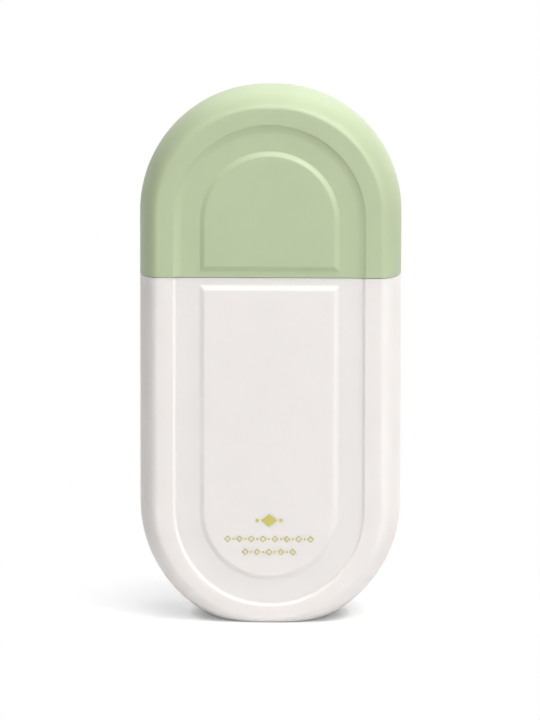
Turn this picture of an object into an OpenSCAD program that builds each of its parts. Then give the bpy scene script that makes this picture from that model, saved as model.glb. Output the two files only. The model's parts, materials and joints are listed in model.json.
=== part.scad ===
// Flat sunscreen bottle with an arched pull-off cap over a lotion pump.
// The front faces -Y, Z is up, and the middle of the base is the origin. Sizes are in millimetres.

/* [Bottle] */
// Width, side to side
bottle_w = 64; // [60:0.5:72]
// Thickness, front to back
bottle_t = 29; // [28:0.5:34]
// Height with the cap on
bottle_h = 131; // [126:1:150]
// Width of the rounded edge, seen from the front
edge_w = 4.9; // [4.6:0.1:7]
// How far the arch's two quarters stand apart from the middle line, which makes its shoulders fuller
shoulder_out = 1.05; // [0.2:0.05:2]
// How far the round foot would reach below the flat base
foot_cut = 3.55; // [2:0.05:4.4]
// Wall of the bottle
bottle_wall = 1.4; // [1:0.1:1.8]
// Bottom of the bottle over the hollow in its base
base_wall = 1.6; // [1.2:0.1:3]
// Depth of the hollow in the base
hollow_d = 0.8; // [0.4:0.1:1.4]
// Least width of the ring that the bottle stands on
stand_w = 3; // [2:0.5:5]

/* [Face] */
// Width of the rim that runs round the front and the back
rim_w = 8.65; // [7:0.05:11]
// Height of the recess's lowest point over the base
recess_lift = 4.2; // [3.5:0.1:7]
// Depth of the recess inside the rim
recess_d = 0.65; // [0.5:0.05:1.1]
// Height of the crisp step at the rim, over the hollow curve
crest_h = 0.2; // [0.1:0.05:0.4]
// Width of the bottle's hollow curve between the step and the recess
body_cove_w = 0.7; // [0.4:0.05:3]
// Width of the cap's hollow curve
cap_cove_w = 2.3; // [0.4:0.05:3]
// Width of the raised panels at their foot
panel_w = 33.8; // [26:0.2:40]
// Width of the panels' sloping edge
panel_bevel = 1.1; // [0.6:0.05:2.5]
// Height of the panels over the recess
panel_raise = 0.6; // [0.3:0.05:0.9]
// From the seam down to the bottle's panel
body_panel_gap = 1.8; // [1:0.1:6]
// From the seam up to the cap's panel
cap_panel_gap = 1.7; // [1:0.1:6]

/* [Cap] */
// Height of the cap, from the seam to the top of the arch
cap_h = 46; // [45:0.5:56]
// Wall of the cap round its edge
cap_edge_wall = 2; // [1.6:0.1:2.2]
// Wall of the cap behind the recess
cap_face_wall = 1.2; // [1:0.1:1.4]
// Height of the liner inside the cap's mouth
liner_h = 11.5; // [7:0.5:12]
// Wall of the liner
liner_wall = 0.9; // [0.8:0.05:1]
// Thickness of the ribs that stop the liner
stop_rib_w = 1; // [0.8:0.1:1.6]
// Length of the ribs that stop the liner
stop_rib_h = 8; // [4:0.5:10]
// From the middle to each rib
stop_rib_x = 20; // [14:0.5:23]
// Length of the snap beads on the bottle
bead_l = 26; // [10:1:36]
// Radius of the snap beads
bead_r = 0.6; // [0.4:0.05:0.8]
// Height of the snap beads over their wall
bead_h = 0.25; // [0.15:0.05:0.28]

/* [Neck] */
// Height of the plinth that the cap slides over
plinth_h = 4.5; // [4:0.1:6]
// Outside of the neck without its thread
neck_d = 15.6; // [15.4:0.1:16]
// Bore of the neck
neck_bore = 12.6; // [12.2:0.1:12.8]
// Height of the neck over the plinth
neck_h = 9.2; // [8.5:0.1:9.8]
// Outside of the ring at the foot of the neck
neck_ring_d = 17.2; // [16.4:0.1:17.4]
// Height of the ring at the foot of the neck
neck_ring_h = 1.2; // [0.8:0.1:1.8]

/* [Collar] */
// Outside of the screw collar, over its ribs
collar_d = 21.2; // [20.6:0.1:21.4]
// Bore of the collar, which clears the neck's thread
collar_bore = 18; // [17.8:0.1:18.4]
// Thickness of the collar's roof
collar_roof = 1.8; // [1.4:0.1:2.2]
// Number of grip ribs
rib_count = 40; // [24:2:52]
// Depth of the grooves between the ribs
rib_d = 0.35; // [0.2:0.05:0.5]
// How far the ribs stand back from the bands under and over them
rib_inset = 0.1; // [0.05:0.05:0.2]
// Smooth band under and over the ribs
rib_band = 1.2; // [0.8:0.1:2]
// Chamfer round the collar's top
collar_chamfer = 0.8; // [0.4:0.1:1.1]

/* [Pump] */
// Outside of the pump's housing
housing_d = 9.6; // [9.2:0.1:9.8]
// Bore of the pump's housing
housing_bore = 8; // [7.6:0.05:8.2]
// Outside of the flange that sits on the neck
flange_d = 14.5; // [14:0.1:15.4]
// Thickness of the flange
flange_t = 1.2; // [0.8:0.1:1.6]
// Outside of the gasket under the flange
gasket_d = 15.1; // [14.5:0.1:15.5]
// Thickness of the gasket
gasket_t = 1; // [0.6:0.1:1.4]
// Height of the housing's spigot over its flange
spigot_h = 7; // [6:0.5:8]
// Length of the pump's chamber below its flange
chamber_l = 24.2; // [22:0.2:30]
// Outside of the retainer that the head slides over
retainer_d = 12.4; // [12:0.1:12.6]
// Thickness of the retainer's roof
retainer_roof = 1.5; // [1.1:0.1:2]
// Length of the retainer's plug inside the housing
plug_l = 6; // [5:0.5:7]
// Outside of the stem
stem_d = 4; // [3.8:0.1:4.4]
// Bore of the stem
stem_bore = 2.4; // [2:0.1:2.6]
// Length of the piston
piston_l = 5; // [4:0.5:6]
// Length of each sealing lip of the piston
piston_lip = 0.7; // [0.4:0.1:1]
// Depth of the piston's waist
piston_waist = 0.5; // [0.2:0.1:0.9]
// Flange of the rod that closes the piston
rod_flange_d = 6.6; // [6.4:0.1:7]
// Thickness of the rod's flange
rod_flange_t = 1.2; // [0.8:0.1:1.6]
// Length of the rod inside the stem
rod_l = 7; // [5:0.5:9]
// Thickness of the rod's crossed blades, between which the lotion passes
blade_t = 0.9; // [0.6:0.1:1.2]
// Height of the notches in the stem's foot
notch_h = 1.2; // [0.6:0.1:2]
// Travel of the head when it is pressed
stroke = 4.5; // [3:0.1:4.5]

/* [Spring] */
// Outside of the spring
spring_d = 6.4; // [6:0.1:7]
// Thickness of its wire
wire_d = 0.7; // [0.5:0.05:0.8]
// Number of turns
spring_turns = 7; // [5:1:8]
// Share by which the end turns lie closer than the average
spring_close_share = 0.5; // [0:0.05:0.5]

/* [Inlet] */
// Diameter of the valve's ball
ball_d = 3.5; // [3.2:0.1:3.6]
// How far the ball can lift
ball_lift = 0.8; // [0.4:0.1:1.2]
// Bore of the valve's inlet
inlet_d = 2.2; // [1.6:0.1:2.3]
// Thickness of the lip that keeps the ball in
ball_lip_t = 1; // [0.6:0.1:1.4]
// Wall of the valve's cage and of the tube's socket
cage_wall = 0.9; // [0.7:0.1:1.1]
// Outside of the dip tube
tube_d = 4; // [3.8:0.1:4.2]
// Bore of the dip tube
tube_bore = 2.8; // [2.4:0.1:3]
// Length of the dip tube inside its socket
tube_grip = 7; // [5:0.5:9]
// Gap under the dip tube's tip
tube_lift = 3.2; // [2:0.2:6]

/* [Head] */
// Outside of the head
head_d = 15.6; // [15.2:0.1:16]
// Wall of the head's skirt
skirt_wall = 1.2; // [1:0.05:1.25]
// Height of the head
head_h = 14.8; // [14.4:0.1:15.2]
// Rounding of the head's top edge
head_round = 1.6; // [0.8:0.1:2.4]
// Depth of the finger dish in the head's top
dish_d = 0.8; // [0.4:0.1:1.1]
// Thickness of the head's top at its edge
head_top_t = 3; // [2.4:0.1:3.4]
// Outside of the socket for the stem
socket_d = 7; // [6.4:0.1:8]
// From the axis to the tip of the spout
spout_reach = 10.2; // [9.6:0.1:10.6]
// Diameter of the spout at its root
spout_root_d = 5.8; // [5:0.1:6]
// Diameter of the spout at its tip
spout_tip_d = 4.6; // [4:0.1:5.2]
// From the head's top down to the middle of the spout
spout_drop = 3.6; // [3.4:0.1:4]
// Bore of the spout
spout_bore = 2; // [1.6:0.1:2.2]

/* [Fits] */
// Gap that shows at the seam under the cap
seam_gap = 0.1; // [0.1:0.05:0.35]
// Gap between the plinth and the liner
slide_gap = 0.35; // [0.3:0.05:0.4]
// Gap between pieces that pass each other freely
free_gap = 0.3; // [0.25:0.05:0.4]
// Clearance of a running fit, on the radius
run_gap = 0.05; // [0.02:0.01:0.08]
// Clearance of a pressed or bonded joint, on the radius
press_gap = 0.02; // [0.01:0.01:0.04]

/* [Hidden] */
$fn = 72;
edge_steps = 24;
cove_steps = 6;
round_steps = 6;
overrun = 1;
cap_green = [0.74, 0.8, 0.66];
body_white = [0.93, 0.915, 0.9];
part_white = [0.95, 0.95, 0.94];
natural = [0.86, 0.87, 0.86];

// The outer form and its levels
half_w = bottle_w / 2;
half_t = bottle_t / 2;
arch_z = bottle_h - half_w;
foot_z = half_w - foot_cut;
seam_z = bottle_h - cap_h;
recess_r = half_w - rim_w;
recess_z = recess_lift + recess_r;
floor_y = half_t - recess_d;
face_y = floor_y + panel_raise;
panel_r = panel_w / 2;
panel_root = panel_raise / 2;
panel_slope_share = panel_bevel / panel_raise;

// What nests inside the cap, from the outside in
nest_edge = edge_w - cap_edge_wall * 3 / 4;
cap_in_w = half_w - cap_edge_wall;
cap_in_t = floor_y - cap_face_wall;
liner_out_w = cap_in_w - run_gap;
liner_out_t = cap_in_t - run_gap;
liner_in_w = liner_out_w - liner_wall;
liner_in_t = liner_out_t - liner_wall;
plinth_w = liner_in_w - slide_gap;
plinth_t = liner_in_t - slide_gap;
cap_z = seam_z + seam_gap;
bead_z = seam_z + plinth_h / 2;
bead_y = plinth_t + bead_h - bead_r;

// The bottle's inside
inside_edge = edge_w - bottle_wall / 2;
inside_z = hollow_d + base_wall;
foot_share = (foot_z - half_w + edge_w) / edge_w;
stand_t = half_t * sqrt(1 - foot_share * foot_share);
hollow_r = stand_t - stand_w;
hollow_sphere_r = (hollow_r * hollow_r + hollow_d * hollow_d) / (2 * hollow_d);

// Levels above the shoulder
plinth_z = seam_z + plinth_h;
neck_z = plinth_z + neck_h;
flange_z = neck_z + gasket_t;
flange_top_z = flange_z + flange_t;
collar_low_z = plinth_z + free_gap;
collar_roof_z = flange_top_z + run_gap * 2;
collar_top_z = collar_roof_z + collar_roof;
spigot_z = flange_top_z + spigot_h;
retainer_top_z = spigot_z + retainer_roof;
head_low_z = collar_top_z + free_gap + stroke;
head_top_z = head_low_z + head_h;
socket_z = retainer_top_z + free_gap + stroke;
spout_z = head_top_z - spout_drop;
stem_top_z = spout_z - spout_bore / 2;

// Levels inside the pump, from the top down
plug_z = spigot_z - plug_l;
piston_top_z = plug_z - free_gap;
piston_z = piston_top_z - piston_l;
rod_seat_z = piston_z - free_gap;
rod_z = rod_seat_z - rod_flange_t;
spring_top_z = rod_z - run_gap;
chamber_z = flange_z - chamber_l;
spring_z = chamber_z + run_gap;
ball_z = chamber_z - ball_lip_t - free_gap - ball_lift - ball_d / 2;
cage_r = ball_d / 2 + free_gap;
cage_d = cage_r * 2;
cage_outer_r = max(cage_r, tube_d / 2 + press_gap) + cage_wall;
seat_apex_z = ball_z - run_gap - ball_d / 2 * sqrt(2);
seat_low_z = seat_apex_z + inlet_d / 2;
seat_high_z = seat_apex_z + cage_r;
tube_top_z = seat_low_z - cage_wall;
socket_low_z = tube_top_z - tube_grip;
tube_low_z = inside_z + tube_lift;
ball_lip_r = ball_d / 2 - free_gap;

// Half of the outer outline: x is the distance from the middle line, y the depth towards the front
function edge_points(w, t, e) = [
    for (i = [0:edge_steps])
        let (a = 180 * i / edge_steps - 90)
        [w - e + e * cos(a), t * sin(a)]
];
function half_outline(w, t, e) = concat([[0, -t]], edge_points(w, t, e), [[0, t]]);

// The whole outline, from its half
function whole(half) = concat(
    [for (p = half) if (p[0] > 0) [p[0], -p[1]]],
    [for (i = [len(half) - 1:-1:0]) if (half[i][0] > 0) [-half[i][0], -half[i][1]]]
);

// A half outline turned up from the right, about an axis from front to back
module turned_up(half, angle) {
    rotate([90, 0, 0])
        rotate_extrude(angle = angle)
            polygon(half);
}

// A half outline carried round a foot and up the straight sides
module upward(low_z, high_z, half) {
    translate([0, 0, low_z])
        mirror([0, 0, 1])
            turned_up(half, 180);
    translate([0, 0, low_z])
        linear_extrude(high_z - low_z)
            polygon(whole(half));
}

// A half outline carried round a foot below, the straight sides and an arch above
module around(low_z, high_z, half) {
    translate([0, 0, high_z])
        turned_up(half, 180);
    upward(low_z, high_z, half);
}

// A level stretch of a flat outline with rounded edges
module upright(w, t, e, low_z, high_z) {
    translate([0, 0, low_z])
        linear_extrude(high_z - low_z)
            polygon(whole(half_outline(w, t, e)));
}

// Everything between two levels
module level(low_z, high_z) {
    translate([-half_w - overrun, -half_t - overrun, low_z])
        cube([bottle_w + overrun * 2, bottle_t + overrun * 2, high_z - low_z]);
}

// The same thing on the front and on the back
module front_and_back() {
    children();
    mirror([0, 1, 0])
        children();
}

// The same thing on the right and on the left
module right_and_left() {
    children();
    mirror([1, 0, 0])
        children();
}

// An outline of depth and height, extruded across the bottle
module across(points, width) {
    rotate([90, 0, 90])
        linear_extrude(width, center = true)
            polygon([for (p = points) [-p[0], p[1]]]);
}

// A round piece of a radius and height outline
module turned(points) {
    rotate_extrude()
        polygon(points);
}

// The recess inside the rim: flat, then a hollow curve that steepens towards the step
module recess(cove_w) {
    cove = [
        for (i = [0:cove_steps])
            let (share = i / cove_steps)
            [recess_r - cove_w + cove_w * share, floor_y + (recess_d - crest_h) * share * share]
    ];
    half = concat([[0, floor_y]], cove, [[recess_r, half_t + overrun], [0, half_t + overrun]]);
    around(recess_z, arch_z, half);
}

// Half of a raised panel's section, rooted in the wall behind it
panel_half = [
    [0, floor_y - panel_root],
    [panel_r, floor_y - panel_root],
    [panel_r, floor_y],
    [panel_r - panel_bevel, face_y],
    [0, face_y]
];

// The side view of a panel whose straight end slopes back from its foot
function panel_side(foot, far, way) = [
    [floor_y - panel_root - overrun, far],
    [floor_y - panel_root - overrun, foot],
    [floor_y, foot],
    [face_y + overrun, foot - way * panel_slope_share * (panel_raise + overrun)],
    [face_y + overrun, far]
];

// The bottle's panel, round below and straight under the seam
module body_panel() {
    intersection() {
        around(recess_z, seam_z, panel_half);
        across(panel_side(seam_z - body_panel_gap, 0, 1), bottle_w);
    }
}

// The cap's panel, straight over the seam and round above
module cap_panel() {
    intersection() {
        around(recess_z, arch_z, panel_half);
        across(panel_side(seam_z + cap_panel_gap, bottle_h, -1), bottle_w);
    }
}

// The outer form: round foot, straight sides, and two quarters of an arch that stand a little apart
module outer_form() {
    quarter = half_outline(half_w - shoulder_out, half_t, edge_w);
    quarter_z = arch_z + shoulder_out;
    upward(foot_z, quarter_z, half_outline(half_w, half_t, edge_w));
    right_and_left()
        translate([shoulder_out, 0, quarter_z])
            turned_up(quarter, 90);
    across([for (p = quarter) [p[1], quarter_z + p[0]]], shoulder_out * 2);
}

// The whole outer form with a recess in the front and in the back
module form(cove_w) {
    difference() {
        outer_form();
        front_and_back()
            recess(cove_w);
    }
}

// The bottle's inside, which follows the recesses
module inside() {
    recess_back = floor_y - bottle_wall;
    step_half = [
        [0, recess_back],
        [recess_r + bottle_wall / 2, recess_back],
        [recess_r + bottle_wall / 2, half_t],
        [0, half_t]
    ];
    intersection() {
        difference() {
            around(
                foot_z,
                arch_z,
                half_outline(half_w - bottle_wall, half_t - bottle_wall, inside_edge)
            );
            front_and_back()
                around(recess_z, arch_z, step_half);
        }
        level(inside_z, seam_z - bottle_wall);
    }
}

// The long low ridge that the cap snaps over, or its groove
module bead(radius, length) {
    translate([0, -bead_y, bead_z])
        rotate([0, 90, 0])
            cylinder(length, radius, radius, center = true);
}

// The blown bottle: rounded shell, plinth for the cap and neck for the pump
module bottle_body() {
    color(body_white)
        difference() {
            union() {
                intersection() {
                    form(body_cove_w);
                    level(0, seam_z);
                }
                front_and_back()
                    body_panel();
                upright(plinth_w, plinth_t, nest_edge, seam_z - bottle_wall, plinth_z);
                front_and_back()
                    bead(bead_r, bead_l);
                translate([0, 0, plinth_z - bottle_wall])
                    cylinder(neck_h + bottle_wall, neck_d / 2, neck_d / 2);
                translate([0, 0, plinth_z - bottle_wall])
                    cylinder(neck_ring_h + bottle_wall, neck_ring_d / 2, neck_ring_d / 2);
            }
            inside();
            upright(
                plinth_w - bottle_wall,
                plinth_t - bottle_wall,
                nest_edge - bottle_wall / 2,
                seam_z - bottle_wall * 2,
                plinth_z - bottle_wall
            );
            translate([0, 0, plinth_z - bottle_wall * 2])
                cylinder(neck_h + bottle_wall * 2 + overrun, neck_bore / 2, neck_bore / 2);
            translate([0, 0, hollow_d - hollow_sphere_r])
                sphere(hollow_sphere_r);
        }
}

// The moulded cap: the rest of the outer form as a shell, with ribs that stop the liner
module cap_shell() {
    liner_top_z = cap_z + liner_h;
    color(cap_green) {
        difference() {
            union() {
                intersection() {
                    form(cap_cove_w);
                    level(cap_z, bottle_h + overrun);
                }
                front_and_back()
                    cap_panel();
            }
            around(foot_z, arch_z, half_outline(cap_in_w, cap_in_t, nest_edge));
        }
        for (side = [-1, 1])
            translate([side * stop_rib_x - stop_rib_w / 2, 0, liner_top_z + press_gap])
                front_and_back()
                    translate([0, liner_in_t, 0])
                        cube([stop_rib_w, cap_in_t - liner_in_t + cap_face_wall / 2, stop_rib_h]);
    }
}

// The sleeve inside the cap's mouth, grooved for the bottle's beads
module cap_liner() {
    color(part_white)
        difference() {
            upright(liner_out_w, liner_out_t, nest_edge, cap_z, cap_z + liner_h);
            upright(liner_in_w, liner_in_t, nest_edge, cap_z - overrun, cap_z + liner_h + overrun);
            front_and_back()
                bead(bead_r + slide_gap, bead_l + slide_gap * 2);
        }
}

// The ribbed outline of the collar: place in the pitch and depth of the groove, as shares
rib_shares = [[0, 0], [0.35, 0], [0.5, 1], [0.85, 1]];
collar_outline = [
    for (i = [0:rib_count - 1])
        for (s = rib_shares)
            let (a = 360 * (i + s[0]) / rib_count, r = collar_d / 2 - rib_inset - rib_d * s[1])
            [r * cos(a), r * sin(a)]
];

// The collar that screws the pump to the neck
module closure_collar() {
    rib_low_z = collar_low_z + rib_band;
    rib_high_z = collar_top_z - collar_chamfer - rib_band;
    hole_r = housing_d / 2 + free_gap;
    color(part_white)
        difference() {
            union() {
                translate([0, 0, collar_low_z])
                    cylinder(rib_band, collar_d / 2, collar_d / 2);
                translate([0, 0, rib_low_z])
                    linear_extrude(rib_high_z - rib_low_z)
                        polygon(collar_outline);
                turned([
                    [0, rib_high_z],
                    [collar_d / 2, rib_high_z],
                    [collar_d / 2, collar_top_z - collar_chamfer],
                    [collar_d / 2 - collar_chamfer, collar_top_z],
                    [0, collar_top_z]
                ]);
            }
            translate([0, 0, collar_low_z - overrun])
                cylinder(collar_roof_z - collar_low_z + overrun, collar_bore / 2, collar_bore / 2);
            translate([0, 0, collar_roof_z - overrun])
                cylinder(collar_roof + overrun * 2, hole_r, hole_r);
        }
}

// The soft ring between the neck and the pump's flange
module neck_gasket() {
    inner_r = housing_d / 2 + press_gap;
    outer_r = gasket_d / 2;
    color("silver")
        turned([[inner_r, neck_z], [outer_r, neck_z], [outer_r, flange_z], [inner_r, flange_z]]);
}

// The pump's barrel, with its flange, its valve seat and the socket for the dip tube
module pump_housing() {
    outer_r = housing_d / 2;
    inner_r = housing_bore / 2;
    wall = outer_r - inner_r;
    neck_down_z = chamber_z - wall;
    color(natural)
        turned([
            [inner_r, spigot_z],
            [outer_r, spigot_z],
            [outer_r, flange_top_z],
            [flange_d / 2, flange_top_z],
            [flange_d / 2, flange_z],
            [outer_r, flange_z],
            [outer_r, neck_down_z],
            [cage_outer_r, neck_down_z - outer_r + cage_outer_r],
            [cage_outer_r, socket_low_z],
            [tube_d / 2 + press_gap, socket_low_z],
            [tube_d / 2 + press_gap, tube_top_z],
            [inlet_d / 2, tube_top_z],
            [inlet_d / 2, seat_low_z],
            [cage_r, seat_high_z],
            [cage_r, chamber_z - ball_lip_t],
            [ball_lip_r, chamber_z - ball_lip_t],
            [ball_lip_r, chamber_z],
            [inner_r, chamber_z]
        ]);
}

// The retainer: it plugs the barrel, guides the stem and keeps the collar on
module pump_retainer() {
    guide_r = stem_d / 2 + run_gap;
    plug_r = housing_bore / 2 - press_gap;
    grip_r = housing_d / 2 + press_gap;
    color(part_white)
        turned([
            [guide_r, plug_z],
            [plug_r, plug_z],
            [plug_r, spigot_z],
            [grip_r, spigot_z],
            [grip_r, collar_top_z + free_gap],
            [retainer_d / 2, collar_top_z + free_gap],
            [retainer_d / 2, retainer_top_z],
            [guide_r, retainer_top_z]
        ]);
}

// The piston, with a sealing lip at each end
module pump_piston() {
    lip_r = housing_bore / 2 - run_gap;
    waist_r = lip_r - piston_waist;
    bore_r = stem_d / 2 + run_gap;
    color(natural)
        turned([
            [bore_r, piston_z],
            [lip_r, piston_z],
            [lip_r, piston_z + piston_lip],
            [waist_r, piston_z + piston_lip + piston_waist],
            [waist_r, piston_top_z - piston_lip - piston_waist],
            [lip_r, piston_top_z - piston_lip],
            [lip_r, piston_top_z],
            [bore_r, piston_top_z]
        ]);
}

// The hollow stem between the piston and the head, notched at its foot to let the lotion in
module pump_stem() {
    color(natural)
        difference() {
            turned([
                [stem_bore / 2, rod_seat_z],
                [stem_d / 2, rod_seat_z],
                [stem_d / 2, stem_top_z],
                [stem_bore / 2, stem_top_z]
            ]);
            for (turn = [45, 135])
                rotate([0, 0, turn])
                    translate([-stem_d / 2 - overrun, -blade_t / 2, rod_seat_z - overrun])
                        cube([stem_d + overrun * 2, blade_t, notch_h + overrun]);
        }
}

// The rod pressed into the stem: crossed blades over a flange that closes the piston
module piston_rod() {
    shank_r = stem_bore / 2 - press_gap;
    tip_r = shank_r / 2;
    color(part_white) {
        translate([0, 0, rod_z])
            cylinder(rod_flange_t, rod_flange_d / 2, rod_flange_d / 2);
        intersection() {
            turned([
                [0, rod_z],
                [shank_r, rod_z],
                [shank_r, rod_seat_z + rod_l - tip_r],
                [tip_r, rod_seat_z + rod_l],
                [0, rod_seat_z + rod_l]
            ]);
            for (turn = [0, 90])
                rotate([0, 0, turn])
                    translate([-shank_r, -blade_t / 2, rod_z])
                        cube([shank_r * 2, blade_t, rod_flange_t + rod_l]);
        }
    }
}

// The spring's centre line: its turns lie closer at both ends
spring_rings = 16;
spring_sides = 6;
spring_rise = spring_top_z - spring_z - wire_d;
function spring_point(u) = [
    (spring_d - wire_d) / 2 * cos(360 * spring_turns * u),
    (spring_d - wire_d) / 2 * sin(360 * spring_turns * u),
    spring_z + wire_d / 2 + spring_rise * (u - spring_close_share * sin(360 * u) / 2 / PI)
];
spring_line = [for (i = [0:spring_turns * spring_rings]) spring_point(i / spring_turns / spring_rings)];
spring_gap = min([
    for (i = [0:len(spring_line) - 1])
        for (j = [i + spring_rings / 2:1:len(spring_line) - 1])
            norm(spring_line[j] - spring_line[i])
]) - wire_d;
echo(str("least gap of the spring to itself, in mm: ", spring_gap));

// The coil that brings the head back, one unbroken wire
module pump_spring() {
    last = len(spring_line) - 1;
    rings = [
        for (i = [0:last])
            let (
                a = 360 * i / spring_rings,
                along = spring_line[min(i + 1, last)] - spring_line[max(i - 1, 0)],
                out = [cos(a), sin(a), 0],
                up = cross(out, along / norm(along))
            )
            for (k = [0:spring_sides - 1])
                spring_line[i] + wire_d / 2 * (cos(360 * k / spring_sides) * out + sin(360 * k / spring_sides) * up)
    ];
    skin = [
        for (i = [0:last - 1])
            for (k = [0:spring_sides - 1])
                let (
                    a = i * spring_sides + k,
                    b = i * spring_sides + (k + 1) % spring_sides
                )
                for (face = [[a, b, b + spring_sides], [a, b + spring_sides, a + spring_sides]])
                    face
    ];
    low_end = [for (k = [1:spring_sides - 2]) [0, k + 1, k]];
    high = last * spring_sides;
    high_end = [for (k = [1:spring_sides - 2]) [high, high + k, high + k + 1]];
    color("silver")
        polyhedron(rings, concat(skin, low_end, high_end));
}

// The ball of the inlet valve, resting in its seat
module inlet_ball() {
    color("gray")
        translate([0, 0, ball_z])
            sphere(ball_d / 2);
}

// The tube that reaches down to the bottom, cut to a point
module dip_tube() {
    point_z = tube_low_z + tube_d / 2;
    color(natural)
        difference() {
            translate([0, 0, tube_low_z])
                cylinder(tube_top_z - tube_low_z, tube_d / 2, tube_d / 2);
            translate([0, 0, tube_low_z - overrun])
                cylinder(tube_top_z - tube_low_z + overrun * 2, tube_bore / 2, tube_bore / 2);
            across(
                [
                    [-tube_d / 2, tube_low_z],
                    [0, tube_low_z],
                    [tube_d / 2, point_z],
                    [tube_d / 2 + overrun, point_z + overrun],
                    [tube_d / 2 + overrun, tube_low_z - overrun],
                    [-tube_d / 2, tube_low_z - overrun]
                ],
                tube_d + overrun
            );
        }
}

// The head that is pressed: skirt, socket for the stem, finger dish and spout
module actuator_head() {
    outer_r = head_d / 2;
    skirt_r = outer_r - skirt_wall;
    ceiling_z = head_top_z - head_top_t;
    socket_r = stem_d / 2 + press_gap;
    dish_r = outer_r - head_round;
    dish_sphere_r = (dish_r * dish_r + dish_d * dish_d) / (2 * dish_d);
    round_points = [
        for (i = [0:round_steps])
            let (a = 90 * i / round_steps)
            [outer_r - head_round + head_round * cos(a), head_top_z - head_round + head_round * sin(a)]
    ];
    color(part_white)
        difference() {
            union() {
                turned(concat(
                    [[skirt_r, ceiling_z], [skirt_r, head_low_z], [outer_r, head_low_z]],
                    round_points,
                    [
                        [0, head_top_z],
                        [0, socket_z],
                        [socket_d / 2, socket_z],
                        [socket_d / 2, ceiling_z]
                    ]
                ));
                translate([0, 0, spout_z])
                    rotate([90, 0, 0])
                        cylinder(spout_reach, spout_root_d / 2, spout_tip_d / 2);
            }
            translate([0, 0, socket_z - overrun])
                cylinder(stem_top_z - socket_z + overrun, socket_r, socket_r);
            translate([0, 0, stem_top_z - overrun])
                cylinder(spout_z - stem_top_z + overrun, stem_bore / 2, stem_bore / 2);
            translate([0, 0, spout_z])
                rotate([90, 0, 0])
                    cylinder(spout_reach + overrun, spout_bore / 2, spout_bore / 2);
            translate([0, 0, head_top_z + dish_sphere_r - dish_d])
                sphere(dish_sphere_r);
        }
}

bottle_body();
cap_shell();
cap_liner();
closure_collar();
neck_gasket();
pump_housing();
pump_retainer();
pump_piston();
pump_stem();
piston_rod();
pump_spring();
inlet_ball();
dip_tube();
actuator_head();
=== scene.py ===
import json
import math

import bmesh
import bpy
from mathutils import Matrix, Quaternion, Vector

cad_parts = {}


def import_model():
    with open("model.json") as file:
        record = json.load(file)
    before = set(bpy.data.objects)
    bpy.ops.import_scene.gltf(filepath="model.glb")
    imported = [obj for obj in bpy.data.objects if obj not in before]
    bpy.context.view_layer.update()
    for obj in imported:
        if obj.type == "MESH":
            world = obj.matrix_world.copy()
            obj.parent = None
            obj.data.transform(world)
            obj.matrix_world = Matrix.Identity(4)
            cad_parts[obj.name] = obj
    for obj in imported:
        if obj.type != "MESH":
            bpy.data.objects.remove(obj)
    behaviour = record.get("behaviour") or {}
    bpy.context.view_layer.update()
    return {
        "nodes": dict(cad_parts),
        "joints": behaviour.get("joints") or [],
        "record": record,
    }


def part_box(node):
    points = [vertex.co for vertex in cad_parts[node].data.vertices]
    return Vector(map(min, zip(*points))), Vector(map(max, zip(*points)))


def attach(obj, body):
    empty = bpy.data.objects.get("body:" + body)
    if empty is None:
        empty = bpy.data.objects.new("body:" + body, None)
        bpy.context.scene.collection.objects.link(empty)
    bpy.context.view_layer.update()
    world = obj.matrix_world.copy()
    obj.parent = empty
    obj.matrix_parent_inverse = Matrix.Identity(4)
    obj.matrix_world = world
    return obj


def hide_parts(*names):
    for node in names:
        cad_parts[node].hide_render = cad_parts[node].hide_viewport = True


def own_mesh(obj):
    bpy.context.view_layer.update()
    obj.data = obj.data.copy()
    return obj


# A flat sunscreen bottle with an arched pull-off cap over a lotion pump.
# The front faces -Y and Z is up. Shapes are worked out in millimetres, and MM turns them into metres.

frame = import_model()
MM = 0.001
QUARTER_TURN = math.radians(90)
FULL_TURN = math.radians(360)


def box_mm(node):
    """The lowest and highest corner of a node, in millimetres."""
    low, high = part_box(node)
    return [c / MM for c in low], [c / MM for c in high]


BODY_HIGH = box_mm("bottle_body")[1]
CAP_LOW, CAP_HIGH = box_mm("cap_shell")
LINER_LOW, LINER_HIGH = box_mm("cap_liner")
COLLAR_LOW, COLLAR_HIGH = box_mm("closure_collar")
HEAD_LOW, HEAD_HIGH = box_mm("actuator_head")
RETAINER_HIGH = box_mm("pump_retainer")[1]
SPRING_LOW, SPRING_HIGH = box_mm("pump_spring")
STEM_HIGH = box_mm("pump_stem")[1]

# How far the head is pressed, in metres
press = [j for j in frame["joints"] if j["name"] == "head_press"][0]
press_m = max(abs(x) for x in press["range_m"])

# The outer form. The arch is two quarters of a circle set apart, and the foot's circle is cut flat.
HALF_W = BODY_HIGH[0]
HALF_T = BODY_HIGH[1]
TOP_Z = CAP_HIGH[2]
EDGE_W = 4.9
FLAT_R = HALF_W - EDGE_W
SHOULDER_OUT = 1.05
SEAM_GAP = 0.1
CAP_Z = CAP_LOW[2]
SEAM_Z = CAP_Z - SEAM_GAP
ARCH_Z = TOP_Z - HALF_W
FOOT_CUT = 3.55
FOOT_Z = HALF_W - FOOT_CUT
FOOT_ROUND = 0.6
HOLLOW_D = 0.8
HOLLOW_ROUND = 0.08
STAND_W = 3.0

# The recess, the small crest at its side, and its raised panels
RIM_W = 8.65
RECESS_R = HALF_W - RIM_W
RECESS_LIFT = 4.2
RECESS_Z = RECESS_LIFT + RECESS_R
RECESS_D = 0.65
FLOOR_D = HALF_T - RECESS_D
CREST_H = 0.2
CREST_OUT = 0.25
PANEL_R = 16.9
PANEL_BEVEL = 1.1
PANEL_RAISE = 0.6
PANEL_ROUND = 0.25
PANEL_D = FLOOR_D + PANEL_RAISE
BODY_PANEL_GAP = 1.8
CAP_PANEL_GAP = 1.7

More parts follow.
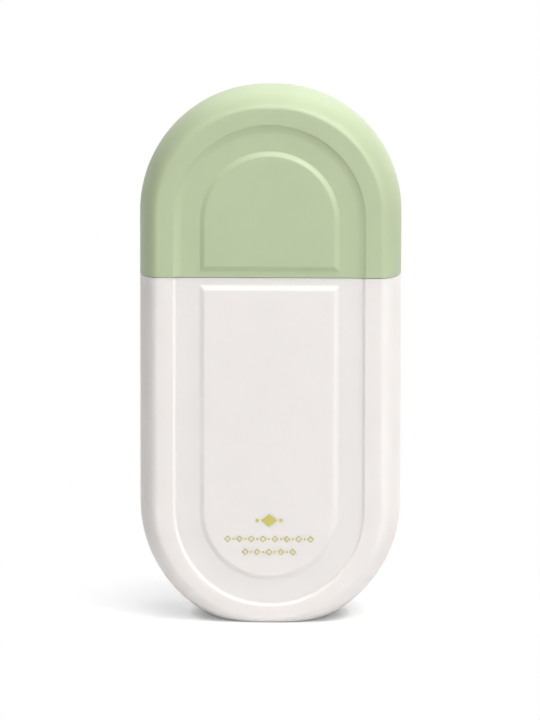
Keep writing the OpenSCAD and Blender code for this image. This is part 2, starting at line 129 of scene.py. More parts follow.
# The hollow curve at the recess's side: its width and its steps
BODY_COVE = (0.7, 5)
CAP_COVE = (2.3, 10)

# The edges of the mouths at the seam
MOUTH_ROUND = 0.14
FACE_START = 0.6

# What nests inside the cap
CAP_EDGE_WALL = 2.0
CAP_FACE_WALL = 1.2
NEST_EDGE_SHARE = 0.75
NEST_EDGE = EDGE_W - CAP_EDGE_WALL * NEST_EDGE_SHARE
CAP_IN_W = HALF_W - CAP_EDGE_WALL
CAP_IN_T = FLOOR_D - CAP_FACE_WALL
LINER_WALL = 0.9
LINER_ROUND = 0.2
SLIDE_GAP = 0.35
LINER_OUT_W = LINER_HIGH[0]
LINER_OUT_T = LINER_HIGH[1]
LINER_IN_W = LINER_OUT_W - LINER_WALL
LINER_IN_T = LINER_OUT_T - LINER_WALL
PLINTH_W = LINER_IN_W - SLIDE_GAP
PLINTH_T = LINER_IN_T - SLIDE_GAP
PLINTH_H = 4.5
PLINTH_Z = SEAM_Z + PLINTH_H
PLINTH_ROUND = 0.5
PLINTH_FOOT_H = 0.3
BEAD_Z = SEAM_Z + PLINTH_H / 2
BEAD_R = 0.6
BEAD_H = 0.25
BEAD_HALF_L = 13.0
BEAD_FADE = 1.2
GROOVE_REACH = 1.0
GROOVE_CLEAR = 4.0
STOP_RIB_X = 20.0
STOP_RIB_W = 1.0
STOP_RIB_H = 8.0
STOP_RIB_ROUND = 0.15
STOP_RIB_GAP = 0.02

# The neck and what is inside the bottle
NECK_R = 7.8
NECK_BORE_R = 6.3
NECK_RING_R = 8.6
NECK_RING_H = 1.2
NECK_RING_ROUND = 0.25
NECK_FILLET = 0.2
NECK_Z = BODY_HIGH[2]
NECK_ROUND = 0.35
WALL = 1.4
INNER_EDGE_CUT = WALL / 2
INSIDE_Z = 2.4

# How finely the shapes are cut. Shares lie between 0 at a start and 1 at an end.
FACE_SHARES = [0, 0.09, 0.18, 0.27, 0.36, 0.45, 0.54, 0.63, 0.71, 0.78, 0.84, 0.89, 0.93, 0.96, 0.985, 1]
SIDE_STEPS = 14
SIDE_CORNER_SHARE = 0.012
ARC_STEPS = 64
INSIDE_SIDE_STEPS = 10
INSIDE_ARC_STEPS = 32
EDGE_STEPS = 24
RIM_STEPS = 5
CREST_STEPS = 7
MOUTH_STEPS = 2
ROUND_STEPS = 5
BEND_STEPS = 4
CORNER_STEPS = 3
BEAD_STEPS = 14
NECK_STEPS = 4
HALF_WAY = 0.5
RECESS_RING_SHARES = (0, 0.3, 0.65)
PANEL_RING_INSETS = (1.2, 3.5)
PLINTH_TOP_SHARES = (0.15, 0.5, 0.85)

# How far round the neck the columns of the flat face reach
FRONT_TURN = math.radians(62)

# How far a point may lie off a face and still count as on it, and how far two sums may differ
FACE_SLACK = 0.01
TINY = 1e-9

# How close together points are welded, in metres, and what keeps the normals steady
WELD = 0.000002
SHARP_DEG = 50
HEAD_SHARP_DEG = 60
NORMAL_WEIGHT = 60


def add_object(name, data):
    """A new object in the scene."""
    made = bpy.data.objects.new(name, data)
    bpy.context.scene.collection.objects.link(made)
    return made


def mesh_object(name, points, faces, smooth=True):
    """A welded mesh object with outward normals, from points in millimetres."""
    mesh = bpy.data.meshes.new(name)
    mesh.from_pydata([(x * MM, y * MM, z * MM) for x, y, z in points], [], faces)
    work = bmesh.new()
    work.from_mesh(mesh)
    bmesh.ops.remove_doubles(work, verts=work.verts, dist=WELD)
    bmesh.ops.dissolve_degenerate(work, edges=work.edges, dist=WELD)
    bmesh.ops.recalc_face_normals(work, faces=work.faces)
    work.to_mesh(mesh)
    work.free()
    if smooth:
        mesh.shade_smooth()
    return add_object(name, mesh)


def steady_normals(piece, sharp_deg=SHARP_DEG):
    """Keeps flats flat beside small roundings."""
    piece.data.set_sharp_from_angle(angle=math.radians(sharp_deg))
    weighted = piece.modifiers.new("steady_normals", "WEIGHTED_NORMAL")
    weighted.keep_sharp = True
    weighted.weight = NORMAL_WEIGHT


def add_ring(points, ring):
    """Adds a ring to a list of points, and gives the numbers of its points there."""
    first = len(points)
    points.extend(ring)
    return range(first, len(points))


def band_faces(ring, after):
    """Faces between two closed rings."""
    count = len(ring)
    return [(ring[k], ring[(k + 1) % count], after[(k + 1) % count], after[k]) for k in range(count)]


def tube_faces(rings):
    """Faces between closed rings that follow one another."""
    return [face for ring, after in zip(rings, rings[1:]) for face in band_faces(ring, after)]


def turned(profile, steps, radius_at=None):
    """A closed outline of (radius, height) turned round the axis. radius_at may shape it by angle."""
    points = []
    rings = []
    for i in range(steps):
        turn = FULL_TURN * i / steps
        ring = []
        for r, z in profile:
            reach = radius_at(r, z, turn) if radius_at else r
            ring.append((reach * math.cos(turn), reach * math.sin(turn), z))
        rings.append(add_ring(points, ring))
    return points, tube_faces(rings + rings[:1])


class Sheets:
    """Points and faces of one quarter of a shell, added grid by grid."""

    def __init__(self):
        self.points = []
        self.faces = []

    def grid(self, rows):
        """Adds a grid of points, given as rows of (across, depth, height)."""
        first = len(self.points)
        width = len(rows[0])
        for row in rows:
            self.points.extend(row)
        for i in range(len(rows) - 1):
            for j in range(width - 1):
                a = first + i * width + j
                self.faces.append((a, a + 1, a + width + 1, a + width))

    def fan(self, row):
        """Closes a flat outline with one face."""
        self.faces.append(tuple(add_ring(self.points, row)))

    def whole(self, name):
        """The four quarters welded into one mesh object."""
        points = []
        faces = []
        for side in (1, -1):
            for front in (1, -1):
                first = len(points)
                points.extend((side * x, front * d, z) for x, d, z in self.points)
                faces.extend(tuple(first + k for k in face) for face in self.faces)
        piece = mesh_object(name, points, faces)
        steady_normals(piece)
        return piece


def spread(low, high, steps):
    """Even steps from low to high, both ends included."""
    return [low + (high - low) * i / steps for i in range(steps + 1)]


def quarter_angles(steps):
    """Even steps through a quarter turn, both ends included."""
    return spread(0, QUARTER_TURN, steps)


def curve(a, b, c, steps):
    """Points on a quadratic curve from a to c that bends at b."""
    found = []
    for s in spread(0, 1, steps):
        found.append(tuple(p * (1 - s) ** 2 + 2 * q * s * (1 - s) + r * s * s for p, q, r in zip(a, b, c)))
    return found


# Ways along an outline: towards the axis, away from it, down and up
IN = (-1, 0)
OUT = (1, 0)
DOWN = (0, -1)
UP = (0, 1)


def rounded(x, z, back, on, size, steps=CORNER_STEPS):
    """A rounded corner at (x, z). back is the way to the outline before it, and on the way to the rest."""
    start = (x + back[0] * size, z + back[1] * size)
    end = (x + on[0] * size, z + on[1] * size)
    return curve(start, (x, z), end, steps)


def eased(share):
    """A share held between 0 and 1 that starts and ends gently."""
    held = min(1.0, max(0.0, share))
    return held * held * (3 - 2 * held)


def smooth_max(a, b, width):
    """The larger of two values, with a rounded corner where they meet."""
    gap = a - b
    if abs(gap) >= width:
        return max(a, b)
    return b + (gap + width) ** 2 / (4 * width)


def sphere_radius(reach, depth):
    """The radius of a sphere whose cap reaches so far out and is so deep."""
    return (reach ** 2 + depth ** 2) / (2 * depth)


def at_level(columns, z):
    """An outline of (across, depth) at one height."""
    return [(x, d, z) for x, d in columns]


def between(row, after, share):
    """A row part of the way from one row to another."""
    return [tuple(a + (b - a) * share for a, b in zip(p, q)) for p, q in zip(row, after)]


# The outlines of the shells, cut at one level, from the middle of the face to the middle of the edge


def outer_columns(cove):
    """(reach from the middle line, depth) of each column, and the number of the last on the recess floor."""
    cove_w, cove_steps = cove
    floor_r = RECESS_R - cove_w
    crest_r = RECESS_R - CREST_H
    rim_r = RECESS_R + CREST_OUT
    rise = RECESS_D - CREST_H
    columns = [(floor_r * share, FLOOR_D) for share in FACE_SHARES]
    for share in spread(0, 1, cove_steps)[1:]:
        columns.append((floor_r + (crest_r - floor_r) * share, FLOOR_D + rise * share * share))
    # The cove ends at twice its mean slope, and the crest goes on from there, at 45 degrees or more
    end_slope = 2 * rise / (crest_r - floor_r)
    bend_r = crest_r + CREST_H / max(end_slope, 1)
    columns += curve((crest_r, HALF_T - CREST_H), (bend_r, HALF_T), (rim_r, HALF_T), CREST_STEPS)[1:]
    columns += [(r, HALF_T) for r in spread(rim_r, FLAT_R, RIM_STEPS)[1:]]
    for angle in quarter_angles(EDGE_STEPS)[1:]:
        columns.append((FLAT_R + EDGE_W * math.sin(angle), HALF_T * math.cos(angle)))
    return columns, len(FACE_SHARES) - 1


def inward(columns):
    """The unit direction into the shell at each column."""
    found = []
    last = len(columns) - 1
    for j in range(len(columns)):
        (xa, da), (xb, db) = columns[max(j - 1, 0)], columns[min(j + 1, last)]
        along = (xb - xa, db - da)
        size = math.hypot(*along)
        found.append((along[1] / size, -along[0] / size))
    found[0] = (0.0, -1.0)
    found[last] = (-1.0, 0.0)
    return found


def plain_columns(like, w, t, edge):
    """A flat outline with rounded edges, with one column for each of an outer outline's."""
    found = []
    for r, d in like:
        if r <= FLAT_R + TINY:
            found.append(((w - edge) * r / FLAT_R, t))
        else:
            angle = math.acos(min(1.0, d / HALF_T))
            found.append((w - edge + edge * math.sin(angle), t * math.cos(angle)))
    return found


def ring_columns(like, radius):
    """A quarter circle with one column for each of an outer outline's. The face's take FRONT_TURN of it."""
    found = []
    for r, d in like:
        if r <= FLAT_R + TINY:
            turn = FRONT_TURN * r / FLAT_R
        else:
            share = math.acos(min(1.0, d / HALF_T)) / QUARTER_TURN
            turn = FRONT_TURN + (QUARTER_TURN - FRONT_TURN) * share
        found.append((radius * math.sin(turn), radius * math.cos(turn)))
    return found


def side_shares():
    """Where the straight sides are cut: close beside the corner, then evenly."""
    return [0, SIDE_CORNER_SHARE] + spread(0, 1, SIDE_STEPS)[1:]


class Shell:
    """The outside of the cap or the bottle, from its mouth at the seam to its far end.

    away is the distance from the mouth, and sign turns it into a height."""

    def __init__(self, mouth_z, sign, cove, outer_centre, recess_centre, panel_gap, shoulder_out=0):
        self.mouth_z = mouth_z
        self.sign = sign
        self.shoulder_out = shoulder_out
        self.outer_centre = abs(outer_centre - mouth_z)
        self.recess_centre = abs(recess_centre - mouth_z)
        self.panel_gap = panel_gap
        self.columns, self.floor_end = outer_columns(cove)
        self.sheets = Sheets()

    def z(self, away):
        """The height at a distance from the mouth."""
        return self.mouth_z + self.sign * away

    def band(self):
        """(reach, depth, its centre's place out and along) of each column of the rim and the edge.

        The rim's inner edge turns round the recess's centre, and its outer edge round the form's."""
        found = []
        for x, d in self.columns[self.floor_end:]:
            share = min(1.0, max(0.0, (x - RECESS_R) / (FLAT_R - RECESS_R)))
            centre = self.recess_centre + (self.outer_centre - self.recess_centre) * share
            found.append((x, d, self.shoulder_out * share, centre + self.shoulder_out * share))
        return found

    def mouth_rows(self):
        """The rounded lip of the mouth, and on to where the straight sides begin."""
        rows = []
        inwards = inward(self.columns)
        for angle in quarter_angles(ROUND_STEPS):
            inset = MOUTH_ROUND * (1 - math.sin(angle))
            away = MOUTH_ROUND * (1 - math.cos(angle))
            rows.append([
                (x + n[0] * inset, d + n[1] * inset, self.z(away))
                for (x, d), n in zip(self.columns, inwards)
            ])
        for away in spread(MOUTH_ROUND, FACE_START, MOUTH_STEPS)[1:]:
            rows.append(at_level(self.columns, self.z(away)))
        return rows

    def band_rows(self):
        """The rim and the edge, up the straight side and round the arch."""
        rows = []
        band = self.band()
        for share in side_shares():
            rows.append([
                (x, d, self.z(FACE_START + (centre - FACE_START) * share)) for x, d, _, centre in band
            ])
        for angle in quarter_angles(ARC_STEPS)[1:]:
            rows.append([
                (out + (x - out) * math.cos(angle), d, self.z(centre + (x - out) * math.sin(angle)))
                for x, d, out, centre in band
            ])
        if self.shoulder_out:
            rows.append([(0.0, d, z) for _, d, z in rows[-1]])
        return rows

    def arch_path(self, reach, low, depth):
        """Along the level end of the recess by the mouth, up its side and round its arch."""
        found = [(reach * share, depth, self.z(low)) for share in FACE_SHARES]
        for share in side_shares()[1:]:
            found.append((reach, depth, self.z(low + (self.recess_centre - low) * share)))
        for angle in quarter_angles(ARC_STEPS)[1:]:
            away = self.recess_centre + reach * math.sin(angle)
            found.append((reach * math.cos(angle), depth, self.z(away)))
        return found

    def face_rows(self):
        """The recess floor, the panel's sloping edge and its face, ring inside ring."""
        floor_r = self.columns[self.floor_end][0]
        rows = []
        for share in RECESS_RING_SHARES:
            reach = floor_r + (PANEL_R + PANEL_ROUND - floor_r) * share
            low = FACE_START + (self.panel_gap - PANEL_ROUND - FACE_START) * share
            rows.append(self.arch_path(reach, low, FLOOR_D))
        slope = math.hypot(PANEL_BEVEL, PANEL_RAISE)
        on = (PANEL_ROUND * PANEL_BEVEL / slope, PANEL_ROUND * PANEL_RAISE / slope)
        profile = curve((-PANEL_ROUND, 0), (0, 0), on, BEND_STEPS)
        profile += curve(
            (PANEL_BEVEL - on[0], PANEL_RAISE - on[1]),
            (PANEL_BEVEL, PANEL_RAISE),
            (PANEL_BEVEL + PANEL_ROUND, PANEL_RAISE),
            BEND_STEPS,
        )
        profile += [(PANEL_BEVEL + inset, PANEL_RAISE) for inset in PANEL_RING_INSETS]
        for inset, height in profile:
            rows.append(self.arch_path(PANEL_R - inset, self.panel_gap + inset, FLOOR_D + height))
        return rows

    def outside(self, stand=None):
        """Adds the outer surface, and gives the first row of its lip. stand presses the round foot flat."""
        mouth = self.mouth_rows()
        band = self.band_rows()
        if stand:
            band = [[stand(p) for p in row] for row in band]
        rings = self.face_rows()
        for rows in (mouth, band, rings):
            self.sheets.grid(rows)
        self.sheets.fan(rings[-1])
        return mouth[0]


def swept_rows(columns, from_z, centre_z, clamp=None):
    """A plain outline carried from one level to a centre and round it, as for a shell's inside."""
    sign = 1 if centre_z > from_z else -1
    rows = [at_level(columns, z) for z in spread(from_z, centre_z, INSIDE_SIDE_STEPS)]
    for angle in quarter_angles(INSIDE_ARC_STEPS)[1:]:
        rows.append([(x * math.cos(angle), d, centre_z + sign * x * math.sin(angle)) for x, d in columns])
    if clamp is not None:
        rows = [[(x, d, max(z, clamp)) for x, d, z in row] for row in rows]
    return rows


# The bottle

# How far round its edge the foot is cut, and the sphere that hollows it
CUT_SINE = (FOOT_Z - FLAT_R) / EDGE_W
HOLLOW_R = HALF_T * math.sqrt(1 - CUT_SINE * CUT_SINE) - STAND_W
HOLLOW_SPHERE_R = sphere_radius(HOLLOW_R, HOLLOW_D)


def stand_point(p):
    """Presses the round foot flat and hollows its middle."""
    x, d, z = p
    dome = HOLLOW_D - HOLLOW_SPHERE_R + math.sqrt(max(HOLLOW_SPHERE_R ** 2 - x * x - d * d, 0))
    return x, d, smooth_max(z, smooth_max(dome, 0, HOLLOW_ROUND), FOOT_ROUND)


def bead_height(x, z, slack=0.0):
    """How far a snap bead stands over its wall, fading out at its ends. slack widens it for a groove."""
    radius = BEAD_R + slack
    up = abs(z - BEAD_Z)
    if up >= radius:
        return 0.0
    height = math.sqrt(radius * radius - up * up) - (radius - BEAD_H)
    return max(0.0, height) * eased((BEAD_HALF_L + slack - abs(x)) / BEAD_FADE)


def plinth_rows(like):
    """Up the plinth's wall, over its beads and round its upper edge."""
    plinth = plain_columns(like, PLINTH_W, PLINTH_T, NEST_EDGE)
    wall_top = PLINTH_Z - PLINTH_ROUND
    levels = [SEAM_Z, SEAM_Z + PLINTH_FOOT_H]
    levels += spread(BEAD_Z - BEAD_R, BEAD_Z + BEAD_R, BEAD_STEPS)
    levels.append(wall_top)
    rows = []
    for z in levels:
        row = []
        for x, d in plinth:
            out = bead_height(x, z) if d > PLINTH_T - FACE_SLACK else 0
            row.append((x, d + out, z))
        rows.append(row)
    for angle in quarter_angles(ROUND_STEPS)[1:]:
        inset = PLINTH_ROUND * (1 - math.cos(angle))
        row = plain_columns(like, PLINTH_W - inset, PLINTH_T - inset, NEST_EDGE - inset)
        rows.append(at_level(row, wall_top + PLINTH_ROUND * math.sin(angle)))
    return rows


def neck_profile():
    """(radius, height) up the ring and the neck, over its rim and down its bore."""
    ring_top = PLINTH_Z + NECK_RING_H
    profile = [(NECK_RING_R + NECK_FILLET, PLINTH_Z), (NECK_RING_R, PLINTH_Z + NECK_FILLET)]
    profile += rounded(NECK_RING_R, ring_top, DOWN, IN, NECK_RING_ROUND)
    profile += rounded(NECK_R, ring_top, OUT, UP, NECK_FILLET)
    profile += [(NECK_R, z) for z in spread(ring_top + NECK_FILLET, NECK_Z - NECK_ROUND, NECK_STEPS)[1:-1]]
    profile += rounded(NECK_R, NECK_Z, DOWN, IN, NECK_ROUND, BEND_STEPS)
    profile += rounded(NECK_BORE_R, NECK_Z, OUT, DOWN, NECK_ROUND, BEND_STEPS)
    profile += [(NECK_BORE_R, z) for z in spread(NECK_Z - NECK_ROUND, PLINTH_Z - WALL, NECK_STEPS)[1:]]
    return profile


def bottle_shell():
    """The blown bottle: outside, plinth with its snap beads, neck, bore and inside."""
    shell = Shell(SEAM_Z, -1, BODY_COVE, FOOT_Z, RECESS_Z, BODY_PANEL_GAP)
    lip = shell.outside(stand_point)
    like = shell.columns
    plinth = plinth_rows(like)
    neck = [at_level(ring_columns(like, r), z) for r, z in neck_profile()]
    rows = [lip, between(lip, plinth[0], HALF_WAY)] + plinth
    rows += [between(plinth[-1], neck[0], share) for share in PLINTH_TOP_SHARES]
    rows += neck
    throat = plain_columns(like, PLINTH_W - WALL, PLINTH_T - WALL, NEST_EDGE - INNER_EDGE_CUT)
    rows += [at_level(throat, z) for z in (PLINTH_Z - WALL, SEAM_Z - WALL)]
    inside = plain_columns(like, HALF_W - WALL, FLOOR_D - WALL, EDGE_W - INNER_EDGE_CUT)
    rows += swept_rows(inside, SEAM_Z - WALL, FOOT_Z, INSIDE_Z)
    shell.sheets.grid(rows)
    return shell.sheets.whole("bottle_shell")


# The screw thread on the neck. Its ends run out over a share of its length, to a least share of its height.
THREAD_R = 8.85
THREAD_PITCH = 3.173
THREAD_TURNS = 1.25
THREAD_FOOT_Z = 93.2
THREAD_HALF_FOOT = 0.75
THREAD_HALF_BEND = 0.45
THREAD_SINK = 0.25
THREAD_RUN_OUT = 0.12
THREAD_LEAST = 0.02
THREAD_STEPS = 150


def neck_thread():
    """One helical ridge whose ends run out into the neck."""
    points = []
    rings = []
    for share in spread(0, 1, THREAD_STEPS):
        turn = FULL_TURN * THREAD_TURNS * share
        z = THREAD_FOOT_Z + THREAD_PITCH * THREAD_TURNS * share
        height = max(THREAD_LEAST, eased(min(share, 1 - share) / THREAD_RUN_OUT))
        crest = NECK_R + (THREAD_R - NECK_R) * height
        section = [(NECK_R - THREAD_SINK, -THREAD_HALF_FOOT)]
        section += curve((NECK_R, -THREAD_HALF_FOOT), (crest, -THREAD_HALF_BEND), (crest, 0), BEND_STEPS)
        section += curve((crest, 0), (crest, THREAD_HALF_BEND), (NECK_R, THREAD_HALF_FOOT), BEND_STEPS)[1:]
        section += [(NECK_R - THREAD_SINK, THREAD_HALF_FOOT)]
        ring = [(r * math.cos(turn), r * math.sin(turn), z + up) for r, up in section]
        rings.append(add_ring(points, ring))
    faces = tube_faces(rings) + [tuple(rings[0]), tuple(rings[-1])]
    return mesh_object("neck_thread", points, faces)


# The cap and its liner


def add_stop_rib(sheets):
    """A rib inside the cap that stops its liner. UP in its (across, depth) outline is towards the face."""
    low_x, high_x = STOP_RIB_X - STOP_RIB_W / 2, STOP_RIB_X + STOP_RIB_W / 2
    low_d, high_d = LINER_IN_T, CAP_IN_T + CAP_FACE_WALL / 2
    outline = [(low_x, high_d)]
    outline += rounded(low_x, low_d, UP, OUT, STOP_RIB_ROUND)
    outline += rounded(high_x, low_d, IN, UP, STOP_RIB_ROUND)
    outline.append((high_x, high_d))
    low_z = LINER_HIGH[2] + STOP_RIB_GAP
    ends = [at_level(outline, low_z), at_level(outline, low_z + STOP_RIB_H)]
    sheets.grid([row + [row[0]] for row in ends])
    for row in ends:
        sheets.fan(row)


def cap_shell():
    """The moulded cap: outside, mouth and inside, with the ribs that stop its liner."""
    shell = Shell(CAP_Z, 1, CAP_COVE, ARCH_Z, ARCH_Z, CAP_PANEL_GAP - SEAM_GAP, SHOULDER_OUT)
    lip = shell.outside()
    inside = plain_columns(shell.columns, CAP_IN_W, CAP_IN_T, NEST_EDGE)
    rows = [lip, between(lip, at_level(inside, CAP_Z), HALF_WAY)]
    rows += swept_rows(inside, CAP_Z, ARCH_Z)
    shell.sheets.grid(rows)
    add_stop_rib(shell.sheets)
    return shell.sheets.whole("cap_outer")


def liner_sleeve():
    """The sleeve in the cap's mouth, grooved for the beads. Its loop is (out from mid-wall, height)."""
    like, _ = outer_columns(CAP_COVE)
    low, high = LINER_LOW[2], LINER_HIGH[2]
    middle_w = (LINER_OUT_W + LINER_IN_W) / 2
    middle_t = (LINER_OUT_T + LINER_IN_T) / 2
    half = LINER_WALL / 2
    loop = rounded(half, low, UP, IN, LINER_ROUND) + rounded(-half, low, OUT, UP, LINER_ROUND)
    loop += [(-half, z) for z in spread(BEAD_Z - GROOVE_REACH, BEAD_Z + GROOVE_REACH, BEAD_STEPS)]
    loop += [(-half, BEAD_Z + GROOVE_CLEAR)]
    loop += rounded(-half, high, DOWN, OUT, LINER_ROUND) + rounded(half, high, IN, DOWN, LINER_ROUND)
    loop += [(half, (low + high) / 2), loop[0]]
    rows = []
    for out, z in loop:
        row = []
        for x, d in plain_columns(like, middle_w + out, middle_t + out, NEST_EDGE + out - half):
            grooved = out <= -half + TINY and d > LINER_IN_T - FACE_SLACK
            row.append((x, d + (bead_height(x, z, SLIDE_GAP) if grooved else 0), z))
        rows.append(row)
    sheets = Sheets()
    sheets.grid(rows)
    return sheets.whole("cap_sleeve")


# The screw collar and its grip ribs
COLLAR_BORE_R = 9.0
COLLAR_HOLE_R = 5.1
COLLAR_ROOF_T = 1.8
COLLAR_SHOULDER_H = 0.8
COLLAR_SHOULDER_ROUND = 1.1
COLLAR_ROUND = 0.2
COLLAR_CHAMFER = 0.3
COLLAR_TOP_IN = 2.0
COLLAR_LIP_W = 0.6
COLLAR_BORE_INSET = 2.0
COLLAR_SHOULDER_STEPS = 8
RIB_COUNT = 40
RIB_D = 0.35
RIB_BAND = 1.2
RIB_FADE = 0.7
RIB_FADE_START = 0.05
RIB_STRAIGHT = 1.2
RIB_CREST_SHARE = 0.35
RIB_FLANK_SHARE = 0.3
RIB_SAMPLES = 12
RIB_FADE_STEPS = 6
RIB_STEPS = 8


def ribbed_collar():
    """The screw collar, with grip ribs that run out softly under its bands."""
    outer = COLLAR_HIGH[0]
    low, high = COLLAR_LOW[2], COLLAR_HIGH[2]
    rib_low, rib_high = low + RIB_BAND, high - COLLAR_SHOULDER_H - RIB_BAND
    roof_z = high - COLLAR_ROOF_T
    profile = rounded(COLLAR_BORE_R, low, UP, OUT, COLLAR_ROUND) + rounded(outer, low, IN, UP, COLLAR_ROUND)
    levels = [rib_low] + spread(rib_low + RIB_FADE_START, rib_low + RIB_FADE, RIB_FADE_STEPS)
    levels += spread(rib_low + RIB_STRAIGHT, rib_high - RIB_STRAIGHT, RIB_STEPS)
    levels += spread(rib_high - RIB_FADE, rib_high - RIB_FADE_START, RIB_FADE_STEPS) + [rib_high]
    profile += [(outer, z) for z in levels]
    profile += rounded(outer, high, DOWN, IN, COLLAR_SHOULDER_ROUND, COLLAR_SHOULDER_STEPS)
    profile += [(r, high) for r in spread(outer - COLLAR_TOP_IN, COLLAR_HOLE_R + COLLAR_LIP_W, CORNER_STEPS)]
    profile += rounded(COLLAR_HOLE_R, high, OUT, DOWN, COLLAR_ROUND)
    profile += [(COLLAR_HOLE_R, roof_z)]
    profile += [(COLLAR_BORE_R - COLLAR_CHAMFER, roof_z), (COLLAR_BORE_R, roof_z - COLLAR_CHAMFER)]
    bore_levels = spread(roof_z - COLLAR_BORE_INSET, low + COLLAR_BORE_INSET, CORNER_STEPS)
    profile += [(COLLAR_BORE_R, z) for z in bore_levels]

    def radius_at(r, z, turn):
        """Cuts the grooves between the ribs into the outside."""
        if r < outer - TINY or not rib_low < z < rib_high:
            return r
        from_crest = abs(turn / FULL_TURN * RIB_COUNT % 1 - HALF_WAY) / HALF_WAY
        groove = eased((from_crest - RIB_CREST_SHARE) / RIB_FLANK_SHARE)
        run = min(1.0, min(z - rib_low, rib_high - z) / RIB_FADE)
        fade = math.sqrt(max(0.0, 1 - (1 - run) ** 2))
        return r - RIB_D * groove * fade

    points, faces = turned(profile, RIB_COUNT * RIB_SAMPLES, radius_at)
    piece = mesh_object("ribbed_collar", points, faces)
    steady_normals(piece)
    return piece


# The head that is pressed, and its spout
HEAD_ROUND = 1.6
HEAD_WALL = 1.2
HEAD_TOP_T = 3.0
HEAD_CLEAR = 0.3
SKIRT_IN_ROUND = 0.25
SKIRT_OUT_ROUND = 0.3
DISH_D = 0.8
DISH_BLEND_SHARE = 0.25
SOCKET_R = 3.5
SOCKET_CHAMFER = 0.2
CEILING_CHAMFER = 0.3
AXIS_R = 0.001
SPOUT_ROOT_R = 2.9
SPOUT_TIP_R = 2.3
SPOUT_TIP_ROUND = 0.35
SPOUT_BORE_R = 1.0
SPOUT_BORE_ROUND = 0.25
SPOUT_BORE_SHARES = (0.6, 0.3, 0.0)
SPOUT_DROP = 3.6
SPOUT_FLARE = 0.55
SPOUT_TOP_GAP = 0.05
SPOUT_LAP = 0.35
SPOUT_HOLE_R = SPOUT_ROOT_R - SPOUT_LAP
SPOUT_HOLE_SHARE = 0.55
HEAD_STEPS = 160
HEAD_SIDE_STEPS = 24
HEAD_ROUND_STEPS = 10
DISH_STEPS = 12
SPOUT_STEPS = 64
SPOUT_FLARE_STEPS = 6
SPOUT_TUBE_STEPS = 8


def head_radius(z):
    """The outside of the head at one level."""
    outer, top = HEAD_HIGH[0], HEAD_HIGH[2]
    up = z - (top - HEAD_ROUND)
    if up <= 0:
        return outer
    return outer - HEAD_ROUND + math.sqrt(max(HEAD_ROUND ** 2 - up * up, 0))


def head_profile():
    """(radius, height) of the head: skirt, side, finger dish, and the socket that grips the stem."""
    outer, low, top = HEAD_HIGH[0], HEAD_LOW[2], HEAD_HIGH[2]
    skirt_r = outer - HEAD_WALL
    dish_r = outer - HEAD_ROUND
    round_z = top - HEAD_ROUND
    sphere_r = sphere_radius(dish_r, DISH_D)
    profile = rounded(skirt_r, low, UP, OUT, SKIRT_IN_ROUND) + rounded(outer, low, IN, UP, SKIRT_OUT_ROUND)
    profile += [(outer, z) for z in spread(low + SKIRT_OUT_ROUND, round_z, HEAD_SIDE_STEPS)[1:]]
    for angle in quarter_angles(HEAD_ROUND_STEPS)[1:]:
        profile.append((dish_r + HEAD_ROUND * math.cos(angle), round_z + HEAD_ROUND * math.sin(angle)))
    for share in spread(0, 1, DISH_STEPS)[1:]:
        r = dish_r * (1 - share)
        down = sphere_r - DISH_D - math.sqrt(sphere_r ** 2 - r * r)
        profile.append((max(r, AXIS_R), top + down * eased(share / DISH_BLEND_SHARE)))
    ceiling_z = top - HEAD_TOP_T
    stem_r, stem_z = STEM_HIGH[0], STEM_HIGH[2]
    socket_z = RETAINER_HIGH[2] + HEAD_CLEAR + press_m / MM
    return profile + [
        (AXIS_R, stem_z),
        (stem_r, stem_z),
        (stem_r, socket_z),
        (SOCKET_R - SOCKET_CHAMFER, socket_z),
        (SOCKET_R, socket_z + SOCKET_CHAMFER),
        (SOCKET_R, ceiling_z - CEILING_CHAMFER),
        (SOCKET_R + CEILING_CHAMFER, ceiling_z),
        (skirt_r - CEILING_CHAMFER, ceiling_z),
        (skirt_r, ceiling_z - CEILING_CHAMFER),
        (skirt_r, (low + ceiling_z) / 2),
    ]


def spout_outline(reach):
    """(kind, radius, value) of each ring of the spout, from the head's wall to its tip and into its bore.

    value is how far a hug ring stands off the wall, a tube ring's share of the way from there to the tip,
    and a plain ring's distance from the axis."""
    outline = []
    for angle in quarter_angles(SPOUT_FLARE_STEPS):
        out = SPOUT_FLARE * (1 - math.sin(angle))
        lift = SPOUT_FLARE * (1 - math.cos(angle))
        outline.append(("hug", SPOUT_ROOT_R + out, lift))
    for share in spread(0, 1, SPOUT_TUBE_STEPS)[1:-1]:
        outline.append(("tube", SPOUT_ROOT_R + (SPOUT_TIP_R - SPOUT_ROOT_R) * share, share))
    tip = rounded(SPOUT_TIP_R, reach, DOWN, IN, SPOUT_TIP_ROUND, BEND_STEPS)
    tip += rounded(SPOUT_BORE_R, reach, OUT, DOWN, SPOUT_BORE_ROUND)
    tip += [(SPOUT_BORE_R, reach * share) for share in SPOUT_BORE_SHARES]
    return outline + [("plain", r, y) for r, y in tip]


